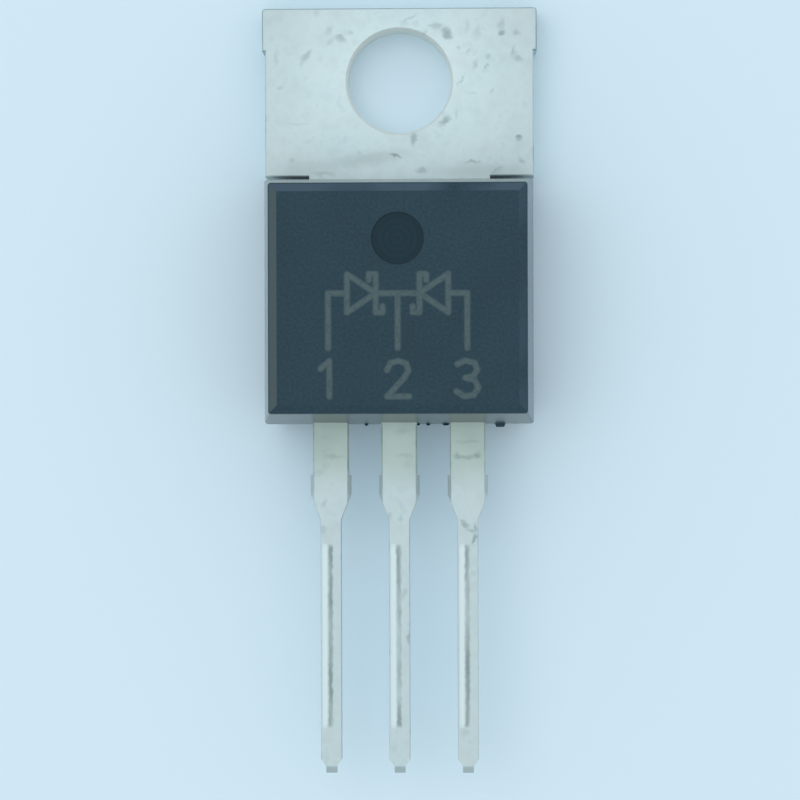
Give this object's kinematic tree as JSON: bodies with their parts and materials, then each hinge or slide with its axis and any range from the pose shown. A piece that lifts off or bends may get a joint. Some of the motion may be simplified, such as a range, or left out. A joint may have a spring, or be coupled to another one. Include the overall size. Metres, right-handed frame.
{
  "type": "schottky diode",
  "caption": "Flat power diode: a black moulded block on a plated metal tab with a round mounting hole, and straight flat leads side by side out of the opposite edge.",
  "frame": {"origin": "centre of the mounting hole on the seating plane, which is the back of the tab", "axes": "+X across the leads, +Y from the leads towards the tab's top edge, +Z from the seating plane out of the moulded front face"},
  "size_m": [0.0104, 0.0286, 0.0045],
  "materials": {
    "moulding_compound": "fine matt epoxy moulding",
    "tinned_copper": "matt tin plating over copper",
    "silicon": "metallised chip",
    "solder": "soft solder",
    "aluminium_wire": "drawn wire"
  },
  "bodies": {
    "root": {"moulded_body": "moulding_compound", "header_and_cathode_lead": "tinned_copper", "anode_lead_left": "tinned_copper", "anode_lead_right": "tinned_copper", "chip_left": "silicon", "chip_right": "silicon", "chip_solder_left": "solder", "chip_solder_right": "solder", "bond_wire_left_inner": "aluminium_wire", "bond_wire_left_outer": "aluminium_wire", "bond_wire_right_inner": "aluminium_wire", "bond_wire_right_outer": "aluminium_wire"}
  },
  "joints": []
}
